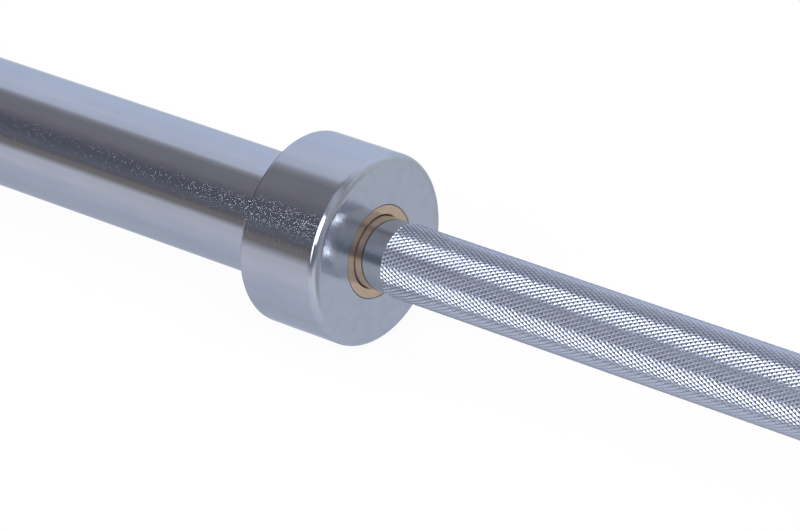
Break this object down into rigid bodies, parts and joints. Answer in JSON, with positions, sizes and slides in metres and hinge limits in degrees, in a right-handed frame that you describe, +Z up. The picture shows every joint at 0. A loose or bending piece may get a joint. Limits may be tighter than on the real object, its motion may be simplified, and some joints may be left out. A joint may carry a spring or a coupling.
{
  "type": "olympic barbell",
  "caption": "Straight chromed weightlifting bar with a diamond-knurled shaft and, at each end, a free-turning plate sleeve with a round stop collar on bronze bushings.",
  "frame": {"origin": "middle of the bar, on the axis of the shaft", "axes": "+X along the bar towards the right sleeve, +Z up as the bar lies on its collars"},
  "size_m": [2.2, 0.078, 0.078],
  "materials": {
    "shaft_chrome": "hard chrome over knurled and turned steel",
    "sleeve_chrome": "bright polished chrome with fine pits",
    "bronze": "machined bearing bronze",
    "washer_steel": "ground hardened steel",
    "spring_steel": "oil-blackened spring steel",
    "seal_rubber": "moulded nitrile rubber"
  },
  "bodies": {
    "shaft": {"shaft": "shaft_chrome", "retaining_ring_left": "spring_steel", "retaining_ring_right": "spring_steel", "inner_thrust_washer_left": "washer_steel", "inner_thrust_washer_right": "washer_steel", "outer_thrust_washer_left": "washer_steel", "outer_thrust_washer_right": "washer_steel"},
    "left_sleeve": {"sleeve_left": "sleeve_chrome", "collar_left": "sleeve_chrome", "inner_bushing_left": "bronze", "outer_bushing_left": "bronze", "end_cap_left": "sleeve_chrome", "end_cap_seal_left": "seal_rubber", "end_cap_ring_left": "spring_steel"},
    "right_sleeve": {"sleeve_right": "sleeve_chrome", "collar_right": "sleeve_chrome", "inner_bushing_right": "bronze", "outer_bushing_right": "bronze", "end_cap_right": "sleeve_chrome", "end_cap_seal_right": "seal_rubber", "end_cap_ring_right": "spring_steel"}
  },
  "joints": [
    {"name": "left_sleeve_spin", "type": "hinge", "parent": "shaft", "child": "left_sleeve", "pos_m": [-0.85, 0, 0], "axis": [1, 0, 0], "continuous": true},
    {"name": "right_sleeve_spin", "type": "hinge", "parent": "shaft", "child": "right_sleeve", "pos_m": [0.85, 0, 0], "axis": [1, 0, 0], "continuous": true}
  ]
}
